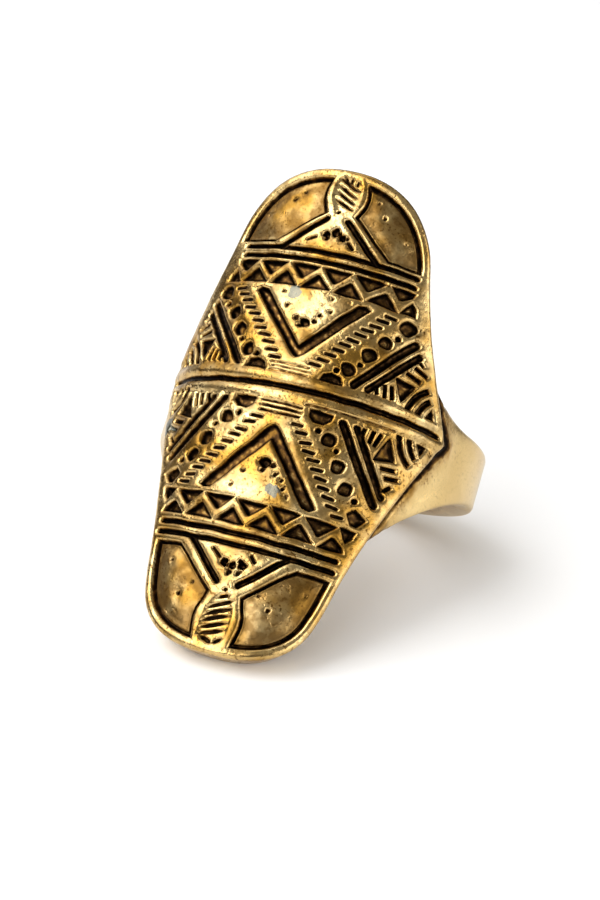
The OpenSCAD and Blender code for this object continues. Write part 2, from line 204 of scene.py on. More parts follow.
def plateOutline(flankSteps=24, capSteps=48):
    right = []
    for side, shape in ((-1, plateShape["lower"]), (1, plateShape["upper"])):
        rise = shape["tip"] - shape["capY"]
        ys = [shape["capY"] * i / flankSteps for i in range(flankSteps)]
        ys += [shape["capY"] + rise * math.sin(math.pi / 2 * i / capSteps) ** (2 / shape["capPower"])
               for i in range(capSteps + 1)]
        for y in (ys[:0:-1] if side < 0 else ys):
            right.append((halfWidth(shape, y), side * y, shape["drift"] * min(1, y / plateShape["driftRun"])))
    return [(x + drift, y) for x, y, drift in right] + [(drift - x, y) for x, y, drift in right[-2:0:-1]]


def unroll(points, longest=0.4):  # plan outline to (u, v), its long edges cut so that they bend
    radius, limit = ringSize["faceRadius"], ringSize["bendLimit"]
    result = []
    for i, (x0, y0) in enumerate(points):
        x1, y1 = points[(i + 1) % len(points)]
        pieces = max(1, math.ceil(math.hypot(x1 - x0, y1 - y0) / longest))
        for k in range(pieces):
            x = max(-limit, min(limit, x0 + (x1 - x0) * k / pieces))
            result.append((radius * math.asin(x / radius), y0 + (y1 - y0) * k / pieces))
    return result


def stroke(x0, y0, x1, y1, width, roundEnds=True):
    length = math.hypot(x1 - x0, y1 - y0)
    dx, dy = (x1 - x0) / length, (y1 - y0) / length
    if not roundEnds:
        nx, ny = -dy * width / 2, dx * width / 2
        return [(x0 + nx, y0 + ny), (x0 - nx, y0 - ny), (x1 - nx, y1 - ny), (x1 + nx, y1 + ny)]
    base = math.atan2(dy, dx)
    points = []
    for x, y, start in ((x1, y1, -90), (x0, y0, 90)):
        for turn in range(0, 181, 30):
            a = base + math.radians(start + turn)
            points.append((x + width / 2 * math.cos(a), y + width / 2 * math.sin(a)))
    return points


def lens(x0, y0, x1, y1, width):  # a stroke of the graver, pointed at both ends
    length = math.hypot(x1 - x0, y1 - y0)
    nx, ny = (y0 - y1) / length, (x1 - x0) / length
    sides = []
    for hand in (1, -1):
        for t, swell in ((0.08, 0.45), (0.3, 1.0), (0.7, 1.0), (0.92, 0.45))[::hand]:
            sides.append((x0 + (x1 - x0) * t + hand * nx * swell * width / 2,
                          y0 + (y1 - y0) * t + hand * ny * swell * width / 2))
    return [(x0, y0)] + sides[:4] + [(x1, y1)] + sides[4:]


def blob(x, y, radius, corners=18, rough=0.05):  # a round hole with a hand-made outline
    phases = [dice.uniform(0, 2 * math.pi) for _ in range(3)]
    points = []
    for k in range(corners):
        a = 2 * math.pi * k / corners
        r = radius * (1 + rough * sum(math.sin((n + 2) * a + phase) for n, phase in enumerate(phases)))
        points.append((x + r * math.cos(a), y + r * math.sin(a)))
    return points


# The repeated cuts, such as the hatching and the zigzag, are rows of one outline laid by Geometry Nodes
def addNode(tree, kind, links=(), **settings):  # gives the new node's outputs
    node = tree.nodes.new(kind)
    for name, value in settings.items():
        setattr(node, name, value)
    for socket, value in links:
        if isinstance(value, bpy.types.NodeSocket):
            tree.links.new(value, node.inputs[socket])
        else:
            node.inputs[socket].default_value = value
    return node.outputs


def newTree(name, inputs):
    tree = bpy.data.node_groups.new(name, "GeometryNodeTree")
    tree.interface.new_socket(name="Geometry", in_out="INPUT", socket_type="NodeSocketGeometry")
    tree.interface.new_socket(name="Geometry", in_out="OUTPUT", socket_type="NodeSocketGeometry")
    for label, kind in inputs:
        tree.interface.new_socket(name=label, in_out="INPUT", socket_type="NodeSocket" + kind)
    return tree


def rowTree():
    tree = newTree("cut row", [("Count", "Int"), ("First", "Vector"), ("Last", "Vector"), ("Wander", "Float"),
                               ("Turn", "Float"), ("Seed", "Int"), ("Finish", "Material")])
    given = addNode(tree, "NodeGroupInput")
    line = addNode(tree, "GeometryNodeMeshLine", [
        ("Count", given["Count"]), ("Start Location", given["First"]), ("Offset", given["Last"])],
        mode="END_POINTS")
    low, high = (addNode(tree, "ShaderNodeVectorMath", [(0, (sign, sign, 0)), ("Scale", given["Wander"])],
                         operation="SCALE")[0] for sign in (-1, 1))
    wander = addNode(tree, "FunctionNodeRandomValue", [(0, low), (1, high), ("Seed", given["Seed"])],
                     data_type="FLOAT_VECTOR")
    moved = addNode(tree, "GeometryNodeSetPosition", [("Geometry", line[0]), ("Offset", wander[0])])
    back = addNode(tree, "ShaderNodeMath", [(0, given["Turn"]), (1, -1.0)], operation="MULTIPLY")
    turn = addNode(tree, "FunctionNodeRandomValue", [
        (2, back[0]), (3, given["Turn"]), ("Seed", given["Seed"])], data_type="FLOAT")
    angles = addNode(tree, "ShaderNodeCombineXYZ", [(2, turn[1])])
    laid = addNode(tree, "GeometryNodeInstanceOnPoints", [
        ("Points", moved[0]), ("Instance", given["Geometry"]), ("Rotation", angles[0])])
    real = addNode(tree, "GeometryNodeRealizeInstances", [("Geometry", laid[0])])
    dressed = addNode(tree, "GeometryNodeSetMaterial", [("Geometry", real[0]), ("Material", given["Finish"])])
    addNode(tree, "NodeGroupOutput", [("Geometry", dressed[0])])
    return tree


def runTree(tree, mesh, name, values):
    maker = bpy.data.objects.new(name, mesh)
    bpy.context.scene.collection.objects.link(maker)
    modifier = maker.modifiers.new(tree.name, "NODES")
    modifier.node_group = tree
    sockets = {s.name: s.identifier for s in tree.interface.items_tree if s.in_out == "INPUT"}
    for label, value in values.items():
        modifier[sockets[label]] = value
    made = bpy.data.meshes.new_from_object(maker.evaluated_get(bpy.context.evaluated_depsgraph_get()))
    maker.modifiers.clear()
    bpy.data.objects.remove(maker)
    return made


cutRow = rowTree()


def row(outline, count, first, last, wander=0.03, turn=0.03):
    mesh = bpy.data.meshes.new("cut outline")
    mesh.from_pydata([(x, y, 0) for x, y in outline], [], [list(range(len(outline)))])
    made = runTree(cutRow, mesh, "cut row", {"Count": count, "First": (*first, 0), "Last": (*last, 0),
                                             "Wander": wander, "Turn": turn, "Seed": dice.randrange(1000)})
    outlines = [[tuple(made.vertices[i].co[:2]) for i in face.vertices] for face in made.polygons]
    bpy.data.meshes.remove(made)
    return outlines


# Distance fields on a grid over the plate, positive inside a cut. The mesh has a line at each ring of a field
meshRules = {
    "gridStep": 0.04, "gridU": 12.6, "gridV": (-18.2, 15.6),
    "farFromCut": -0.6, "farFromPlate": -3.0,  # distances that stand for nothing near
    "gridMargin": 0.1, "bandGridColumns": 1152, "bandGridStep": 0.06,
    "plateRings": (-1.05, -0.68, -0.46, -0.32, -0.2, -0.12, -plateShape["stepWidth"],
                   0.0, 0.04, 0.12, 0.22, 0.34),
    "bandRings": (0.04, 0.13, 0.34),
    "tolerance": 0.006, "longest": 0.6,
    # Lines keep this far inside the sheet's edge or the plate's, and the band's stop short of the plate
    "fromBorder": 0.012, "fromPlateEdge": 0.1, "bandLineEnd": -1.08,
    "shortBorder": 100, "shortCut": 5, "shortPiece": 3,  # lines of so few grid points are left out
    # Loose points fill the places that have no lines near
    "plateFill": {"step": 0.28, "pitch": 0.87, "u": 12, "v": (-17.5, 15), "wander": 0.04, "fromEdge": 0.55,
                  "gap": 0.1},
    "bandFill": {"step": 0.8, "pitch": 0.8, "v": (-9, 7), "fromSeam": (0.4, 0.3), "fromPlate": -1.3,
                 "fromEdge": 0.7},
    "holeFill": {"stepU": 0.9, "stepV": 1.8, "v": (-16.2, 14), "fromSeam": (0.9, 0.5), "fromEdge": 0.4},
}
gridStep = meshRules["gridStep"]
axisU = np.arange(-meshRules["gridU"], meshRules["gridU"] + gridStep / 2, gridStep)
axisV = np.arange(meshRules["gridV"][0], meshRules["gridV"][1] + gridStep / 2, gridStep)
gridU, gridV = np.meshgrid(axisU, axisV)


def softNoise(u, v, wavelength, seed, terms=7):
    waves = random.Random(seed)
    total = np.zeros_like(u)
    for _ in range(terms):
        a = waves.uniform(0, 2 * math.pi)
        k = 2 * math.pi / (wavelength * waves.uniform(0.6, 1.6))
        total += np.sin(k * (math.cos(a) * u + math.sin(a) * v) + waves.uniform(0, 6.28))
    return total / math.sqrt(terms)


def nearTo(distance, middle, width):  # 1 at the middle, falling off to both sides
    return np.exp(-((distance - middle) / width) ** 2)


wobble, leaning = cutShape["wobble"], cutShape["lean"]
warpU, warpV = (grid + wobble["size"] * softNoise(gridU, gridV, wobble["wavelength"], seed)
                for grid, seed in zip((gridU, gridV), wobble["seeds"]))
warpU += leaning["shift"] * nearTo(gridV, leaning["middle"], leaning["spread"])


def polygonDistance(points, u, v):
    nearest = np.full(u.shape, 1e9)
    inside = np.zeros(u.shape, bool)
    for (u0, v0), (u1, v1) in zip(points, points[1:] + points[:1]):
        du, dv = u1 - u0, v1 - v0
        t = np.clip(((u - u0) * du + (v - v0) * dv) / max(du * du + dv * dv, 1e-12), 0, 1)
        nearest = np.minimum(nearest, (u - u0 - t * du) ** 2 + (v - v0 - t * dv) ** 2)
        if v0 != v1:
            inside ^= ((v0 > v) != (v1 > v)) & (u < u0 + (v - v0) * du / dv)
    return np.where(inside, 1, -1) * np.sqrt(nearest)


def addCut(field, outline, margin=0.5):
    points = unroll(outline)
    us, vs = [p[0] for p in points], [p[1] for p in points]
    columns = slice(*np.searchsorted(axisU, (min(us) - margin, max(us) + margin)))
    rows = slice(*np.searchsorted(axisV, (min(vs) - margin, max(vs) + margin)))
    distance = polygonDistance(points, warpU[rows, columns], warpV[rows, columns])
    field[rows, columns] = np.maximum(field[rows, columns], distance)


def traceLevel(field, alongU, alongV, level):  # marching squares, chained into lines of (u, v)
    f = field - level
    f = np.where(f == 0, 1e-9, f)
    inside = f > 0
    flat = inside[:, :-1] != inside[:, 1:]
    tall = inside[:-1] != inside[1:]
    flatId = np.where(flat, np.cumsum(flat).reshape(flat.shape) - 1, -1)
    tallId = np.where(tall, np.cumsum(tall).reshape(tall.shape) - 1 + flat.sum(), -1)
    i, j = np.nonzero(flat)
    t = f[i, j] / (f[i, j] - f[i, j + 1])
    flatPoints = np.stack([alongU[j] + t * (alongU[j + 1] - alongU[j]), alongV[i]], 1)
    i, j = np.nonzero(tall)
    t = f[i, j] / (f[i, j] - f[i + 1, j])
    tallPoints = np.stack([alongU[j], alongV[i] + t * (alongV[i + 1] - alongV[i])], 1)
    points = np.concatenate([flatPoints, tallPoints])
    sides = np.stack([flatId[:-1], tallId[:, 1:], flatId[1:], tallId[:, :-1]], -1).reshape(-1, 4)
    count = (sides >= 0).sum(1)
    links = list(np.sort(sides[count == 2], 1)[:, 2:])
    for bottom, right, top, left in sides[count == 4]:
        links += [(bottom, right), (top, left)]
    neighbours = [[] for _ in points]
    for a, b in links:
        neighbours[a].append(int(b))
        neighbours[b].append(int(a))
    lines, used = [], [False] * len(points)
    for starts in ([k for k, n in enumerate(neighbours) if len(n) == 1], range(len(points))):
        for start in starts:
            if used[start]:
                continue
            line, here = [start], start
            used[start] = True
            while True:
                onward = [n for n in neighbours[here] if not used[n]]
                if not onward:
                    break
                here = onward[0]
                used[here] = True
                line.append(here)
            closed = len(line) > 2 and start in neighbours[here] and len(neighbours[start]) == 2
            lines.append((points[line], closed))
    return lines


def simplify(line, closed):  # keeps the points that the curve needs
    if closed:
        line = np.concatenate([line, line[:1]])
    keep = {0, len(line) - 1}
    stack = [(0, len(line) - 1)]
    if closed:
        middle = len(line) // 2
        keep.add(middle)
        stack = [(0, middle), (middle, len(line) - 1)]
    while stack:
        a, b = stack.pop()
        if b - a < 2:
            continue
        chord = line[b] - line[a]
        length = math.hypot(*chord)
        offset = line[a + 1:b] - line[a]
        if length < 1e-9:
            away = np.hypot(offset[:, 0], offset[:, 1])
        else:
            away = np.abs(offset[:, 0] * chord[1] - offset[:, 1] * chord[0]) / length
        far = int(away.argmax())
        if away[far] > meshRules["tolerance"]:
            split = a + 1 + far
        elif length > meshRules["longest"]:
            split = (a + b) // 2
        else:
            continue
        keep.add(split)
        stack += [(a, split), (split, b)]
    kept = line[sorted(keep)]
    return kept[:-1] if closed else kept


def readField(field, u, v, alongU=axisU, alongV=axisV):  # bilinear
    x = np.clip((u - alongU[0]) / (alongU[1] - alongU[0]), 0, len(alongU) - 1.001)
    y = np.clip((v - alongV[0]) / (alongV[1] - alongV[0]), 0, len(alongV) - 1.001)
    j, i = x.astype(int), y.astype(int)
    s, t = x - j, y - i
    return ((field[i, j] * (1 - s) + field[i, j + 1] * s) * (1 - t)
            + (field[i + 1, j] * (1 - s) + field[i + 1, j + 1] * s) * t)


def bandRadius(theta):
    shift, blend, radius = bandShape["shoulderShift"], bandShape["blend"], bandShape["shoulderRadius"]
    shoulder = -shift * np.cos(theta) + np.sqrt(radius ** 2 - (shift * np.sin(theta)) ** 2)
    back = np.full_like(shoulder, bandShape["backRadius"])
    return 0.5 * (shoulder + back - np.sqrt((shoulder - back) ** 2 + blend ** 2)) + bandShape["lift"]


def bandEdges(u):
    theta = u / ringSize["faceRadius"]
    depth = -np.cos(theta) * (bandRadius(theta) + ringSize["holeRadius"]) / 2
    topRadius, lowRadius = bandShape["topArcRadius"], bandShape["lowArcRadius"]
    rise = np.clip(bandShape["topArcY"] - depth, 0, topRadius * bandShape["topArcShare"])
    top = bandShape["top"] + topRadius - np.sqrt(topRadius ** 2 - rise ** 2)
    fall = np.clip(bandShape["lowArcY"] - depth, 0, lowRadius * bandShape["lowArcShare"])
    low = bandShape["lowArcZ"] + np.sqrt(lowRadius ** 2 - fall ** 2)
    start = bandShape["lowArcZ"] + lowRadius
    t = np.clip((depth - bandShape["lowArcY"]) / (bandShape["backRadius"] - bandShape["lowArcY"]), 0, 1)
    return top, low + (bandShape["backLow"] - start) * t


def bandDistance(u, v):
    nudge = 0.01
    top, low = bandEdges(u)
    topSlope, lowSlope = ((after - before) / (2 * nudge)
                          for before, after in zip(bandEdges(u - nudge), bandEdges(u + nudge)))
    return np.minimum((top - v) / np.sqrt(1 + topSlope ** 2), (v - low) / np.sqrt(1 + lowSlope ** 2))


def buildFields():
    fields = {name: np.full(gridU.shape, meshRules["farFromCut"]) for name in cutNames}
    outline = unroll(plateOutline(), 0.3)
    fields["plate"] = polygonDistance(outline, gridU, gridV)
    for side in (1, -1):
        at = {name: half(pair, side) for name, pair in reliefPlan["heights"].items()}
        at["panelMid"] = (at["leafNeck"] + at["leafTip"]) / 2
        at["leafLow"] = (at["leafNeck"] + at["leafMid"]) / 2
        at["leafHigh"] = at["leafMid"] + (at["leafTip"] - at["leafMid"]) * 0.5
        drawBands(fields["deep"], at, side)
        for hand in (1, -1):
            drawSide(fields, at, side, hand)
        drawLeaf(fields, at, side)
        drawPits(fields, side)
    addCut(fields["deep"], stroke(*reliefPlan["middleGroove"]))
    for line in reliefPlan["middleLines"]:
        addCut(fields["fine"], stroke(*line))
    return fields, outline


def drawBands(deep, at, side):  # the V, the cross grooves and the zigzags
    plan, outer, end = reliefPlan, at["vOuter"], at["vEnd"]
    footEnds = (outer + (end - outer) * plan["vFootShare"], end + side * plan["vFootRound"], end)
    bend = [(x, outer + side * rise) for x, rise in plan["vBend"]]
    addCut(deep, mirrored(bend + list(zip(plan["vFoot"], footEnds)) + [(0, at["vInner"])]))
    reach, wander = plan["grooveReach"], plan["grooveWander"]
    for y in (at["nearGroove"], at["farGroove"]):
        addCut(deep, stroke(-reach, y + dice.uniform(-wander, wander), reach, y, plan["grooveWidth"]))
    base, tip, height = plan["tooth"]["halfBase"], plan["tooth"]["halfTip"], side * plan["tooth"]["height"]
    for teeth, y, outline in (
            (plan["nearTeeth"], at["zigzagNear"], [(-base, 0), (base, 0), (tip, height), (-tip, height)]),
            (plan["farTeeth"], at["zigzagFar"], [(-base, 0), (-tip, -height), (tip, -height), (base, 0)])):
        for tooth in row(outline, teeth["count"], (-teeth["reach"], y), (teeth["reach"], y)):
            addCut(deep, tooth)


def drawSide(fields, at, side, hand):  # a quarter's holes, slots, corner field, arm, panel and hatching
    deep, plan = fields["deep"], reliefPlan

    def put(points):
        addCut(deep, [(hand * x, y) for x, y in points])

    def nudge():
        return dice.uniform(-plan["nudge"], plan["nudge"])

    for x, upperY, lowerY, radius in plan["dots"] + plan["pips"]:
        put(blob(x + nudge(), half((upperY, lowerY), side) + nudge(), radius))
    put(blob(*plan["upperOuterDot"]) if side > 0 else plan["lowerOuterHole"])
    put([(x, at["ridgeHole"] + rise) for x, rise in half(plan["ridgeHoles"], side)])
    for x0, a0, b0, x1, a1, b1, width in plan["slots"]:
        put(stroke(x0 + nudge() / 2, half((a0, b0), side), x1 + nudge() / 2, half((a1, b1), side), width,
                   width > plan["roundFrom"]))
    for name in ("cornerTriangle", "cornerTip"):
        put([(x, half(pair, side)) for x, *pair in plan[name]])
    fan = plan["fan"]
    cx, cy = fan["centre"][0], half(fan["centre"][1:], side)
    for radius, degrees in zip(fan["radii"], fan["degrees"]):
        sweep = [math.radians(degrees * i / 10) for i in range(11)]
        outerArc, innerArc = ([(cx - r * math.cos(a), cy + side * r * math.sin(a)) for a in sweep]
                              for r in (radius + fan["width"] / 2, radius - fan["width"] / 2))
        put(outerArc + innerArc[::-1])
    for name, y in (("farEnd", at["zigzagFar"]), ("nearEnd", at["zigzagNear"])):
        put([(x, y + side * rise) for x, rise in plan[name]])
    arm = plan["arm"]
    put(stroke(arm["x"][0], at["farGroove"], arm["x"][1], at["armEnd"], arm["width"]))
    nearX, farX = plan["panelX"]
    slim = plan["upperLeftSlim"] if side > 0 and hand < 0 else 0.0
    panel = [(nearX, at["panelBase"]), (farX, at["panelBase"]), (farX, at["beyond"])]
    panel += [(x - slim, at[name] + side * rise) for x, name, rise in plan["leafBorder"]]
    addPanel(fields, [(hand * x, y) for x, y in panel])
    hatch = plan["hatch"]
    ends = [(hand * hatch[name][0], half(hatch[name][1:], side)) for name in ("first", "last")]
    line = stroke(-hatch["halfLength"], 0, hatch["halfLength"], 0, hatch["width"])
    for outline in row(line, hatch["count"], *ends, hatch["wander"], hatch["turn"]):
        addCut(fields["fine"], outline)


def drawLeaf(fields, at, side):
    edge = mirrored([(x, at[name] + side * rise) for x, name, rise in reliefPlan["leafEdge"]])
    addCut(fields["leaf"], [(half(reliefPlan["leafShift"], side) + x, y) for x, y in edge])
    marks = half(reliefPlan["leafMarks"], side)
    outlines = row(lens(*marks["stroke"]), marks["count"], marks["first"], marks["last"], marks["wander"],
                   marks["turn"])
    for outline in outlines + [lens(*mark) for mark in marks["single"]] + [blob(*marks["dot"])]:
        addCut(fields["fine"], outline)


def addPanel(fields, points):  # a moat inside the rim round a rough raised field
    rim = fields["plate"] - cutShape["rimWidth"]
    distance = np.minimum(polygonDistance(unroll(points), warpU, warpV), rim)
    fields["deep"][:] = np.maximum(fields["deep"], distance)
    raised = np.minimum(distance - cutShape["innerMoat"], rim - cutShape["moatWidth"])
    fields["plateau"][:] = np.maximum(fields["plateau"], raised)


def drawPits(fields, side):
    plan, deep, fine = reliefPlan, fields["deep"], fields["fine"]
    for x, y, radius in half(plan["pits"], side):
        addCut(deep if radius > plan["deepPit"] else fine, blob(x, y, radius, *plan["pitShape"]))
        a, reach = dice.uniform(0, 2 * math.pi), dice.uniform(*plan["chipAway"]) * radius
        chipX, chipY = x + reach * math.cos(a), y + reach * math.sin(a)
        addCut(fine, blob(chipX, chipY, radius * plan["chipShare"], *plan["chipShape"]))
    for x, upperY, lowerY, radius in plan["panelPits"]:
        for hand in (1, -1):
            strayX, strayY = (dice.uniform(-far, far) for far in plan["panelPitStray"])
            pitX, pitY = hand * x + strayX, half((upperY, lowerY), side) + strayY
            addCut(fine, blob(pitX, pitY, radius, *plan["panelPitShape"]))
    for slash in half(plan["slashes"], side):
        addCut(fine, stroke(*slash, plan["slashWidth"]))


def blur(field, millimetres):
    across = np.fft.rfftfreq(field.shape[1], gridStep)
    down = np.fft.fftfreq(field.shape[0], gridStep)[:, None]
    soften = np.exp(-2 * (math.pi * millimetres) ** 2 * (across ** 2 + down ** 2))
    return np.fft.irfft2(np.fft.rfft2(field) * soften, field.shape)


def cutProfile(name, distance, curve="profile"):
    return np.interp(distance, cutShape[name]["rings"], cutShape[name][curve])


def roundOver(distance, radius):
    inset = np.clip(radius - distance, 0, radius)
    return radius - np.sqrt(radius ** 2 - inset ** 2)


def surfaceHeight(u, v, plate, band, cuts):  # above the face radius, with how dark the recesses are, and the band's strip by the plate's foot, partly painted shade
    deep, fine, leaf, plateau = (cutProfile(name, cuts[name]) for name in cutNames)
    relief = cutShape["deep"]["depth"] * deep
    dents = sum(depth * softNoise(u, v, *noise) for depth, *noise in faceShape["dents"])
    relief = relief + (cutShape["plateau"]["depth"] + dents) * plateau
    relief = relief + cutShape["leaf"]["depth"] * leaf * (1 - deep)
    relief = relief + cutShape["fine"]["depth"] * fine * np.maximum(1 - deep, plateau)
    depth, *noise = faceShape["swells"]
    relief = relief + depth * softNoise(u, v, *noise) * (1 - plateau)
    ridges = faceShape["ridges"]
    ridge = np.clip(np.abs(np.abs(v - ridges["slope"] * u) - ridges["away"]) / ridges["halfWidth"], 0, 1)
    relief = relief - np.where(np.abs(v) < ridges["reach"], ridges["depth"] * ridge ** 2 * (1 - deep), 0)
    cap, drop, stepWidth = plateShape["capEdge"], plateShape["cornerDrop"], plateShape["stepWidth"]
    onCap = np.clip((np.abs(v - cap["middle"]) - cap["start"]) / cap["run"], 0, 1)
    onPlate = relief - roundOver(plate, np.interp(onCap, (0, 1), plateShape["edgeRound"]))
    outward = np.clip((np.abs(u) - drop["start"]) / drop["run"], 0, 1)
    onPlate = onPlate - drop["depth"] * outward ** drop["power"]
    away, soft = -plate - stepWidth, bandShape["creaseSoft"]
    # How wide the dark strip on the band by the plate's foot is: partly oxide, partly painted shade
    reach = np.interp(np.abs(v), bandShape["creaseOxideAndShadeSpan"], bandShape["creaseOxideAndShadeWidth"])
    foot = np.clip((reach - away) / soft, 0, 1)
    onBand = bandRadius(u / ringSize["faceRadius"]) - ringSize["faceRadius"]
    onBand = onBand - roundOver(band, bandShape["edgeRound"])
    onBand = onBand + bandShape["swell"] * nearTo(away, 0, bandShape["swellWidth"])
    crease = bandShape["creaseDepth"] * nearTo(away, soft, soft)
    onBand = onBand - crease * np.clip(band / bandShape["creaseEdge"], 0, 1)
    step = np.clip(1 + plate / stepWidth, 0, 1)
    height = np.where(plate > 0, onPlate, onBand + (onPlate - onBand) * step)
    oxide = cutProfile("deep", cuts["deep"], "oxide") * (1 - plateau) ** cutShape["plateau"]["oxidePower"]
    oxide = np.maximum(oxide, cutProfile("fine", cuts["fine"], "oxide"))
    # On the band the recess mark is the dark strip by the plate's foot, part oxide and part painted shade
    recess = np.where(plate > 0, oxide, foot * (1 - step))
    return height, recess


def gatherLines(fields, outline):
    wideU = np.linspace(-seamU, seamU, meshRules["bandGridColumns"])
    wideV = np.arange(*meshRules["gridV"], meshRules["bandGridStep"])
    meshU, meshV = np.meshgrid(wideU, wideV)
    plateWide = np.full(meshU.shape, meshRules["farFromPlate"])
    near = np.abs(wideU) < meshRules["gridU"]
    plateWide[:, near] = polygonDistance(outline, meshU[:, near], meshV[:, near])
    bandWide = bandDistance(meshU, meshV)
    whole = np.maximum(plateWide, bandWide)
    points, edges, marks = [], [], []

    def addLine(line, closed, mark):
        if len(line) < 2:
            return
        start = len(points)
        points.extend((float(p[0]), float(p[1])) for p in line)
        marks.extend([mark] * len(line))
        edges.extend((start + k, start + k + 1) for k in range(len(line) - 1))
        if closed:
            edges.append((start + len(line) - 1, start))

    def addMasked(line, closed, mark, field, low=-math.inf, high=math.inf):  # where the field is in between
        here = readField(field, line[:, 0], line[:, 1], wideU, wideV)
        good = (here > low) & (here < high)
        if good.all():
            addLine(simplify(line, closed), closed, mark)
            return
        if closed:
            first = int(np.argmin(good))
            line, good = np.roll(line, -first, 0), np.roll(good, -first)
        ends = np.flatnonzero(np.diff(np.concatenate([[0], good.astype(int), [0]])))
        for a, b in zip(ends[::2], ends[1::2]):
            if b - a > meshRules["shortPiece"]:
                addLine(simplify(line[a:b], False), False, mark)

    boundary = [line for line, closed in traceLevel(whole, wideU, wideV, 0)
                if len(line) > meshRules["shortBorder"]]
    for line in boundary:
        addLine(simplify(line, False), False, ("whole", 0.0))
    ends = sorted((p for line in boundary for p in (tuple(line[0]), tuple(line[-1]))))
    for pair in (ends[:2], ends[-2:]):
        addLine(pair, False, ("whole", 0.0))
    borderEdges = len(edges)

    for level in meshRules["plateRings"]:
        for line, closed in traceLevel(fields["plate"], axisU, axisV, level):
            addMasked(line, closed, ("plate", level), whole, low=meshRules["fromBorder"])
    for level in meshRules["bandRings"]:
        for line, closed in traceLevel(bandWide, wideU, wideV, level):
            addMasked(line, closed, ("band", level), plateWide, high=meshRules["bandLineEnd"])
    for name in cutNames:
        for level in cutShape[name]["rings"]:
            for line, closed in traceLevel(fields[name], axisU, axisV, level):
                if len(line) > meshRules["shortCut"]:
                    addMasked(line, closed, (name, level), plateWide, low=meshRules["fromPlateEdge"])
    ridges = faceShape["ridges"]
    for v in ridges["lines"]:
        us = np.arange(-ridges["lineReach"], ridges["lineReach"] + 0.01, ridges["lineStep"])
        addLine(np.stack([us, v + ridges["slope"] * us], 1), False, (None, 0.0))
    return points, edges, marks, borderEdges, (wideU, wideV, plateWide, bandWide)


def fillPoints(fields, wide):
    wideU, wideV, plateWide, bandWide = wide
    rules = meshRules["plateFill"]
    step, wander = rules["step"], rules["wander"]
    points = []
    for i, v in enumerate(np.arange(*rules["v"], step * rules["pitch"])):
        us = np.arange(-rules["u"], rules["u"], step) + (i % 2) * step / 2
        points += [(u + dice.uniform(-wander, wander), v + dice.uniform(-wander, wander)) for u in us]
    points = np.array(points)
    u, v = points.T
    keep = readField(fields["plate"], u, v) > rules["fromEdge"]
    for name in cutNames:
        rings = cutShape[name]["rings"]
        distance = readField(fields[name], u, v)
        keep &= (distance < rings[0] - rules["gap"]) | (distance > rings[-1] + rules["gap"])
    onPlate = points[keep]
    rules = meshRules["bandFill"]
    us = np.arange(rules["fromSeam"][0] - seamU, seamU - rules["fromSeam"][1], rules["step"])
    points = np.array([(u, v) for v in np.arange(*rules["v"], rules["step"] * rules["pitch"]) for u in us])
    u, v = points.T
    keep = readField(plateWide, u, v, wideU, wideV) < rules["fromPlate"]
    keep &= readField(bandWide, u, v, wideU, wideV) > rules["fromEdge"]
    return np.concatenate([onPlate, points[keep]])


def fillInside(points, edges, borderEdges):  # triangles inside the border, which is the first edges given
    verts, allEdges, faces, origins, edgeOrigins, _ = delaunay_2d_cdt(points, edges, [], 0, 1e-5, True)
    border = {tuple(sorted(edge)) for edge, source in zip(allEdges, edgeOrigins)
              if any(k < borderEdges for k in source)}
    sides = {}
    for i, face in enumerate(faces):
        for a, b in zip(face, face[1:] + face[:1]):
            sides.setdefault((min(a, b), max(a, b)), []).append(i)
    outside = {owners[0] for key, owners in sides.items() if len(owners) == 1 and key not in border}
    stack = list(outside)
    while stack:
        face = faces[stack.pop()]
        for a, b in zip(face, face[1:] + face[:1]):
            key = (min(a, b), max(a, b))
            if key not in border:
                fresh = [k for k in sides[key] if k not in outside]
                outside.update(fresh)
                stack += fresh
    kept = [face for i, face in enumerate(faces) if i not in outside]
    return np.array([tuple(v) for v in verts]), kept, origins


# Where film has settled on the metal, together with painted shade near the cuts and beside the plate: 0 is
# clean, and 1 is covered
filmAndShadeRules = {
    "spread": 0.5, "fineShare": 0.5,  # it gathers where the cuts are crowded, partly film and partly painted shade
    "plateau": ((0, 0.1, 0.5, 1.5), (0, 0.8, 0.72, 0.42)),  # distance inside a rough field, and film with painted shade
    "rim": {"clean": 0.08, "inset": 0.3, "width": 0.25},  # fingers keep the rim clean
    "lips": (("deep", -0.1), ("fine", -0.06)), "lipClean": 0.3, "lipWidth": 0.05,  # and the lips of the cuts
    "foot": 1.2, "footWidth": 0.8, "bandClean": 0.35, "bandFrom": -0.02,  # and the band away from the plate, while the band next to the plate gets painted shade
    "spotReach": 1.5,
}


def filmAndShadeMarks(fields, values, u, v, offPlate):
    rules, plate = filmAndShadeRules, values["plate"]
    # The blurred crowding of the cuts darkens the lands near them: part film, part painted shade
    crowd = cutProfile("deep", fields["deep"]) * (1 - cutProfile("plateau", fields["plateau"]))
    crowd = blur(np.maximum(crowd, rules["fineShare"] * cutProfile("fine", fields["fine"])), rules["spread"])
    grimeAndShade = np.where(offPlate, 0, readField(crowd, u, v))
    grimeAndShade = np.maximum(grimeAndShade, np.interp(values["plateau"], *rules["plateau"]))
    rim = rules["rim"]
    grimeAndShade = grimeAndShade - rim["clean"] * nearTo(plate, rim["inset"], rim["width"])
    for name, lip in rules["lips"]:
        grimeAndShade = grimeAndShade - rules["lipClean"] * nearTo(values[name], lip, rules["lipWidth"])
    nearFoot = nearTo(plate, -plateShape["stepWidth"], rules["footWidth"])
    return np.where(plate < rules["bandFrom"], rules["foot"] * nearFoot - rules["bandClean"], grimeAndShade)


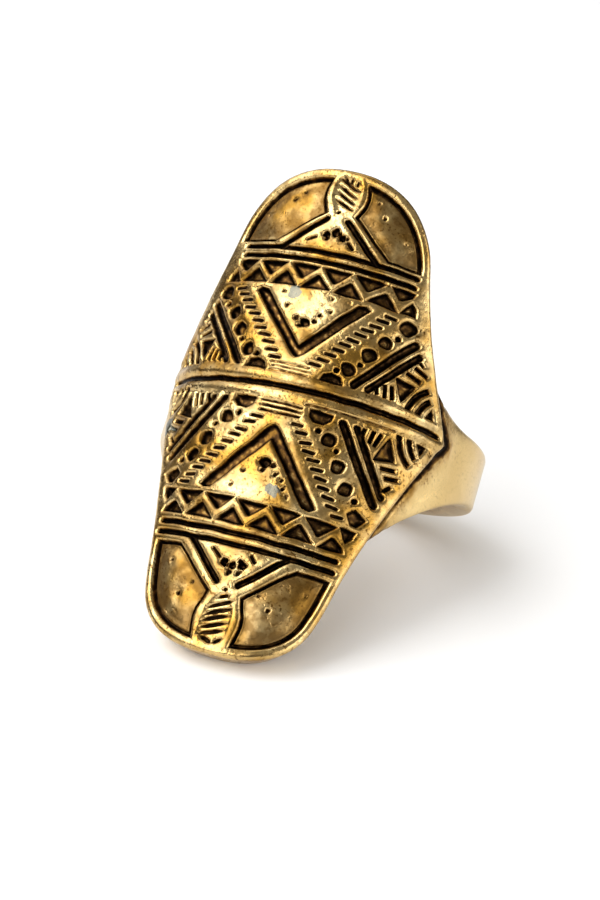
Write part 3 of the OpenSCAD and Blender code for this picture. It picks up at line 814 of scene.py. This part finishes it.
def outerSheet():
    fields, outline = buildFields()
    points, edges, marks, borderEdges, wide = gatherLines(fields, outline)
    fill = fillPoints(fields, wide)
    print("relief lines", len(points), "points,", len(fill), "fill points")
    points += [tuple(p) for p in fill]
    marks += [(None, 0.0)] * len(fill)
    flat, faces, origins = fillInside(points, edges, borderEdges)
    u, v = flat.T
    offPlate = np.abs(u) > meshRules["gridU"] - meshRules["gridMargin"]
    values = {name: np.where(offPlate, meshRules["farFromCut"], readField(fields[name], u, v))
              for name in cutNames}
    values["plate"] = np.where(offPlate, meshRules["farFromPlate"], readField(fields["plate"], u, v))
    values["band"] = bandDistance(u, v)
    for i, source in enumerate(origins):
        for name, level in (marks[k] for k in source):
            if name in values:
                values[name][i] = level
    height, recess = surfaceHeight(u, v, values["plate"], values["band"], values)
    bare = np.zeros(len(flat))
    for x, y, radius in reliefPlan["bareSpots"]:
        spotU = ringSize["faceRadius"] * math.asin(x / ringSize["faceRadius"])
        away = np.hypot(u - spotU, v - y) / radius
        bare = np.maximum(bare, np.clip(filmAndShadeRules["spotReach"] - away, 0, 1))
    print("outer sheet", len(flat), "points,", len(faces), "faces")
    grimeAndShade = filmAndShadeMarks(fields, values, u, v, offPlate)
    return flat, height, faces, {"recess": recess, "grimeAndShade": grimeAndShade, "bare": bare}


def borderLoop(faces):
    used = {(a, b) for face in faces for a, b in zip(face, face[1:] + face[:1])}
    onward = {a: b for a, b in used if (b, a) not in used}
    start = min(onward)
    loop = [start]
    while onward[loop[-1]] != start:
        loop.append(onward[loop[-1]])
    assert len(loop) == len(onward)
    return loop


def closedRing():  # outer sheet, side walls and finger hole, still flat and open at the back seam
    flat, height, faces, marks = outerSheet()
    loop = borderLoop(faces)
    points = [(u, v, h) for (u, v), h in zip(flat, height)]
    here = flat[loop]
    onSeam = np.abs(np.abs(here[:, 0]) - seamU) < 1e-3
    before, after = np.roll(here, 1, 0), np.roll(here, -1, 0)
    along = after - before
    inward = np.stack([-along[:, 1], along[:, 0]], 1)
    inward[onSeam] = np.stack([np.zeros(onSeam.sum()), -np.sign(here[onSeam, 1])], 1)
    inward /= np.linalg.norm(inward, axis=1, keepdims=True)
    corner = onSeam & ~(np.roll(onSeam, 1) & np.roll(onSeam, -1))
    wallPlaces = [k for k in range(len(loop)) if not onSeam[k] or corner[k]]
    hole = ringSize["holeRadius"] - ringSize["faceRadius"]
    rows = [{k: loop[k] for k in wallPlaces}]
    for inset, rise in ringSize["holeEdge"]:
        current = {}
        for k in wallPlaces:
            current[k] = len(points)
            points.append((*(here[k] + inward[k] * inset), hole + rise))
        rows.append(current)
    for outer, inner in zip(rows, rows[1:]):
        for k, n in zip(wallPlaces, wallPlaces[1:] + wallPlaces[:1]):
            if not (onSeam[k] and onSeam[n]):
                faces.append([outer[n], outer[k], inner[k], inner[n]])
    innerPoints = [points[rows[-1][k]][:2] for k in wallPlaces]
    count = len(innerPoints)
    rules = meshRules["holeFill"]
    us = np.arange(rules["fromSeam"][0] - seamU, seamU - rules["fromSeam"][1], rules["stepU"])
    fill = [(u, v) for u in us for v in np.arange(*rules["v"], rules["stepV"])]
    inside = polygonDistance(innerPoints, *np.array(fill).T) > rules["fromEdge"]
    innerPoints += [p for p, good in zip(fill, inside) if good]
    edges = [(k, (k + 1) % count) for k in range(count)]
    sheet, sheetFaces, origins = fillInside(innerPoints, edges, count)
    place = {}
    for i, source in enumerate(origins):
        known = [k for k in source if k < count]
        if known:
            place[i] = rows[-1][wallPlaces[known[0]]]
        else:
            place[i] = len(points)
            points.append((*sheet[i], hole))
    faces += [[place[k] for k in reversed(face)] for face in sheetFaces]
    marks = {name: np.concatenate([mark, np.zeros(len(points) - len(mark))]) for name, mark in marks.items()}
    return points, faces, marks


def wrapTree():  # bends the flat ring round the finger, leans it and stands it in its place, in metres
    tree = newTree("wrap round finger", [("Radius", "Float"), ("Lean", "Float"), ("Place", "Vector"),
                                         ("Scale", "Float"), ("Finish", "Material")])
    given = addNode(tree, "NodeGroupInput")
    flatPlace = addNode(tree, "GeometryNodeInputPosition")[0]
    u, v, height = addNode(tree, "ShaderNodeSeparateXYZ", [(0, flatPlace)])
    known = {"u": u, "height": height, "radius": given["Radius"], "minus": -1.0}
    for name, operation, *sources in (
            ("angle", "DIVIDE", "u", "radius"), ("reach", "ADD", "height", "radius"),
            ("sine", "SINE", "angle"), ("cosine", "COSINE", "angle"), ("across", "MULTIPLY", "reach", "sine"),
            ("ahead", "MULTIPLY", "reach", "cosine"), ("back", "MULTIPLY", "ahead", "minus")):
        terms = [(k, known[source]) for k, source in enumerate(sources)]
        known[name] = addNode(tree, "ShaderNodeMath", terms, operation=operation)[0]
    bent = addNode(tree, "ShaderNodeCombineXYZ", [(0, known["across"]), (1, known["back"]), (2, v)])
    wrapped = addNode(tree, "GeometryNodeSetPosition", [
        ("Geometry", given["Geometry"]), ("Position", bent[0])])
    tilt = addNode(tree, "ShaderNodeCombineXYZ", [(0, given["Lean"])])
    size = addNode(tree, "ShaderNodeCombineXYZ", [(k, given["Scale"]) for k in range(3)])
    stood = addNode(tree, "GeometryNodeTransform", [
        ("Geometry", wrapped[0]), ("Translation", given["Place"]), ("Rotation", tilt[0]), ("Scale", size[0])])
    joined = addNode(tree, "GeometryNodeMergeByDistance", [("Geometry", stood[0]), ("Distance", 1e-6)])
    smooth = addNode(tree, "GeometryNodeSetShadeSmooth", [("Geometry", joined[0])])
    real = addNode(tree, "GeometryNodeRealizeInstances", [("Geometry", smooth[0])])
    dressed = addNode(tree, "GeometryNodeSetMaterial", [("Geometry", real[0]), ("Material", given["Finish"])])
    addNode(tree, "NodeGroupOutput", [("Geometry", dressed[0])])
    return tree


def toLinear(hexColour):
    channels = [int(hexColour[k:k + 2], 16) / 255 for k in (1, 3, 5)]
    return [c / 12.92 if c <= 0.04045 else ((c + 0.055) / 1.055) ** 2.4 for c in channels] + [1.0]


# Antique gold plate on a cast alloy: polished and lightly worn on what stands proud, half-matt
# black-brown oxide in the recesses, fine casting pits, and a few spots where the plating has gone grey.
goldFinish = {
    "paleGold": "#DEC38A", "deepGold": "#AA8036", "tarnish": "#60431B", "oxide": "#110A05",
    "umber": "#402C17", "bare": "#66685F",
    # Feature size in millimetres, detail, and the noise values that become 0 and 1
    "patterns": {
        "cloud": (2.8, 3.0, 0.32, 0.62), "stain": (0.9, 5.0, 0.36, 0.66), "cluster": (1.9, 2.0, 0.34, 0.56),
        "mottle": (0.42, 4.0, 0.37, 0.63), "speck": (0.19, 3.0, 0.55, 0.66), "pit": (0.5, 3.0, 0.60, 0.70),
        "grain": (0.13, 2.0, 0.3, 0.7),
    },
    # A pattern times an amount is added to a mark of the mesh, and the sum is cut off between two values:
    # the mark, the amount, the pattern, the two values and the most that the mask reaches
    "masks": {
        "brown": ("recess", 0.36, "mottle", 0.42, 0.72, 1.0),
        "floor": ("recess", 0.4, "mottle", 0.62, 0.85, 1.0),
        "dark": ("recess", 0.4, "mottle", 0.84, 1.16, 1.0),
        # The film mask, laid in the tarnish colour, is partly film and partly painted shade
        "filmAndShade": ("grimeAndShade", 0.65, "stain", 0.3, 1.15, 0.85),
        "bare": ("bare", 0.7, "stain", 0.8, 0.92, 0.9),
    },
    "coats": (("cloud", "deepGold"), ("filmAndShade", "tarnish"), ("speck", "tarnish"), ("brown", "tarnish"),
              ("floor", "umber"), ("dark", "oxide"), ("bare", "bare")),  # masks and their colours, in order
    "smoothBand": (-0.35, 0.1, 0.3),  # film and painted shade on the band and on the plate, and the unevenness left to the band
    "goldRoughness": 0.24, "wornRoughness": 0.42, "oxideRoughness": 0.4,
    "heights": (("grain", 0.1), ("cloud", 0.4), ("pit", -0.8), ("mottle", 0.35)),
    "bumpDepth": 0.00004, "bumpStrength": 0.5,
}


def antiqueGold():
    look = goldFinish
    material = bpy.data.materials.new("antique gold")
    material.use_nodes = True
    tree = material.node_tree
    tree.nodes.clear()
    coords = addNode(tree, "ShaderNodeTexCoord")["Object"]
    marks = {name: addNode(tree, "ShaderNodeAttribute", attribute_name=name)["Fac"]
             for name in ("recess", "grimeAndShade", "bare")}
    patterns, masks = {}, {}
    for name, (millimetres, detail, low, high) in look["patterns"].items():
        noise = addNode(tree, "ShaderNodeTexNoise", [("Vector", coords), ("Scale", 1000 / millimetres),
                                                     ("Detail", detail)])
        patterns[name] = addNode(tree, "ShaderNodeMapRange", [("Value", noise[0]), ("From Min", low),
                                                              ("From Max", high)])[0]
    for name, (mark, amount, over, low, high, top) in look["masks"].items():
        total = addNode(tree, "ShaderNodeMath", [(0, patterns[over]), (1, amount), (2, marks[mark])],
                        operation="MULTIPLY_ADD")
        masks[name] = addNode(tree, "ShaderNodeMapRange", [("Value", total[0]), ("From Min", low),
                                                           ("From Max", high), ("To Max", top)])[0]
    bandGrimeAndShade, plateGrimeAndShade, kept = look["smoothBand"]
    uneven = addNode(tree, "ShaderNodeMapRange", [("Value", marks["grimeAndShade"]), ("From Min", bandGrimeAndShade),
                                                  ("From Max", plateGrimeAndShade), ("To Min", kept)])[0]
    clusters = addNode(tree, "ShaderNodeMath", [(0, patterns["speck"]), (1, patterns["cluster"])],
                       operation="MULTIPLY")[0]
    for name, pattern in (("cloud", patterns["cloud"]), ("speck", clusters)):
        masks[name] = addNode(tree, "ShaderNodeMath", [(0, pattern), (1, uneven)], operation="MULTIPLY")[0]
    colour = toLinear(look["paleGold"])
    for mask, over in look["coats"]:
        colour = addNode(tree, "ShaderNodeMix", [(0, masks[mask]), (6, colour), (7, toLinear(look[over]))],
                         data_type="RGBA")[2]
    worn = addNode(tree, "ShaderNodeMapRange", [("Value", masks["filmAndShade"]), ("To Min", look["goldRoughness"]),
                                                ("To Max", look["wornRoughness"])])
    roughness = addNode(tree, "ShaderNodeMix", [
        (0, masks["dark"]), (2, worn[0]), (3, look["oxideRoughness"])])
    height = 0.0
    for name, amount in look["heights"]:
        height = addNode(tree, "ShaderNodeMath", [(0, patterns[name]), (1, amount), (2, height)],
                         operation="MULTIPLY_ADD")[0]
    height = addNode(tree, "ShaderNodeMath", [(0, height), (1, uneven)], operation="MULTIPLY")[0]
    bumps = addNode(tree, "ShaderNodeBump", [("Height", height), ("Strength", look["bumpStrength"]),
                                             ("Distance", look["bumpDepth"])])
    surface = addNode(tree, "ShaderNodeBsdfPrincipled", [
        ("Base Color", colour), ("Metallic", 1.0), ("Roughness", roughness[0]), ("Normal", bumps[0])])
    addNode(tree, "ShaderNodeOutputMaterial", [("Surface", surface[0])])
    return material


def buildRing():
    points, faces, marks = closedRing()
    mesh = bpy.data.meshes.new("flat ring")
    mesh.from_pydata(points, [], faces)
    for name, mark in marks.items():
        mesh.attributes.new(name, "FLOAT", "POINT").data.foreach_set("value", mark)
    lean, place = restingPlace()
    made = runTree(wrapTree(), mesh, "flat ring", {
        "Radius": ringSize["faceRadius"], "Lean": -lean, "Scale": 0.001,
        "Place": [k / 1000 for k in place], "Finish": antiqueGold()})
    made.name = "shieldRing"
    ring = bpy.data.objects.new("shieldRing", made)
    bpy.context.scene.collection.objects.link(ring)
    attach(ring, "root")
    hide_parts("ring")
    print("ring", len(made.vertices), "points,", len(made.polygons), "faces")
    return ring


ring = buildRing()

# Studio: a pale floor under soft lights, in a room that is dim at the horizon and pale above
studio = {
    "floor": "#FAFAFA", "floorRoughness": 0.6, "floorReach": 3.0,
    "target": (0, 0, 0.012),  # the middle of the ring, at which the lights aim
    "lights": [
        {"name": "keyLight", "place": (-0.46, -0.27, 0.65), "size": 0.74, "watts": 5.4},
        {"name": "frontLight", "place": (-0.19, -0.67, 0.42), "size": 0.64, "watts": 3.5},
        {"name": "sideLight", "place": (0.54, -0.30, 0.17), "size": 0.44, "watts": 1.15},
        {"name": "rightLight", "place": (0.64, 0.08, 0.20), "size": 0.5, "watts": 1.35},
        {"name": "leftLight", "place": (-0.58, 0.30, 0.46), "size": 0.7, "watts": 1.35},
        {"name": "backLight", "place": (-0.19, 0.32, 0.54), "size": 0.56, "watts": 0.65},
    ],
    "roomLow": "#5A4526", "roomHigh": "#E8E8E6", "roomSpan": (0.1, 0.9), "roomStrength": 0.44,
}


def buildFloor():
    reach = studio["floorReach"]
    mesh = bpy.data.meshes.new("floor")
    corners = [(-reach, -reach, 0), (reach, -reach, 0), (reach, reach, 0), (-reach, reach, 0)]
    mesh.from_pydata(corners, [], [(0, 1, 2, 3)])
    material = bpy.data.materials.new("matt white card")
    material.use_nodes = True
    shader = material.node_tree.nodes["Principled BSDF"]
    shader.inputs["Base Color"].default_value = toLinear(studio["floor"])
    shader.inputs["Roughness"].default_value = studio["floorRoughness"]
    mesh.materials.append(material)
    floor = bpy.data.objects.new("floor", mesh)
    bpy.context.scene.collection.objects.link(floor)


def aim(thing, place, target):
    thing.location = place
    direction = [t - p for t, p in zip(target, place)]
    yaw = math.atan2(-direction[0], direction[1])
    pitch = math.acos(-direction[2] / math.sqrt(sum(k * k for k in direction)))
    thing.rotation_euler = Euler((pitch, 0, yaw))


def buildLights():
    for given in studio["lights"]:
        light = bpy.data.lights.new(given["name"], "AREA")
        light.shape, light.size, light.energy = "DISK", given["size"], given["watts"]
        lamp = bpy.data.objects.new(given["name"], light)
        bpy.context.scene.collection.objects.link(lamp)
        aim(lamp, given["place"], studio["target"])
    world = bpy.data.worlds.new("pale room")
    bpy.context.scene.world = world
    world.use_nodes = True
    background = world.node_tree.nodes["Background"]
    direction = addNode(world.node_tree, "ShaderNodeTexCoord")["Generated"]
    upward = addNode(world.node_tree, "ShaderNodeSeparateXYZ", [(0, direction)])[2]
    low, high = studio["roomSpan"]
    rising = addNode(world.node_tree, "ShaderNodeMapRange", [("Value", upward), ("From Min", low),
                                                             ("From Max", high)])
    shade = addNode(world.node_tree, "ShaderNodeMix", [(0, rising[0]), (6, toLinear(studio["roomLow"])),
                                                       (7, toLinear(studio["roomHigh"]))], data_type="RGBA")
    world.node_tree.links.new(shade[2], background.inputs["Color"])
    background.inputs["Strength"].default_value = studio["roomStrength"]


buildFloor()
buildLights()

# The photograph's view: 600 x 900, from a little to the right and above
photoView = {"place": (0.03576, -0.10907, 0.06041), "turn": (65.762, -4.913, 20.351), "lens": 77.4}
camera = bpy.data.cameras.new("photoCamera")
camera.lens, camera.sensor_width, camera.clip_start = photoView["lens"], 36.0, 0.005
eye = bpy.data.objects.new("photoCamera", camera)
eye.location = photoView["place"]
eye.rotation_euler = Euler([math.radians(a) for a in photoView["turn"]])
bpy.context.scene.collection.objects.link(eye)
bpy.context.scene.camera = eye
bpy.context.scene.view_settings.view_transform = "Standard"
print("camera and lights set")
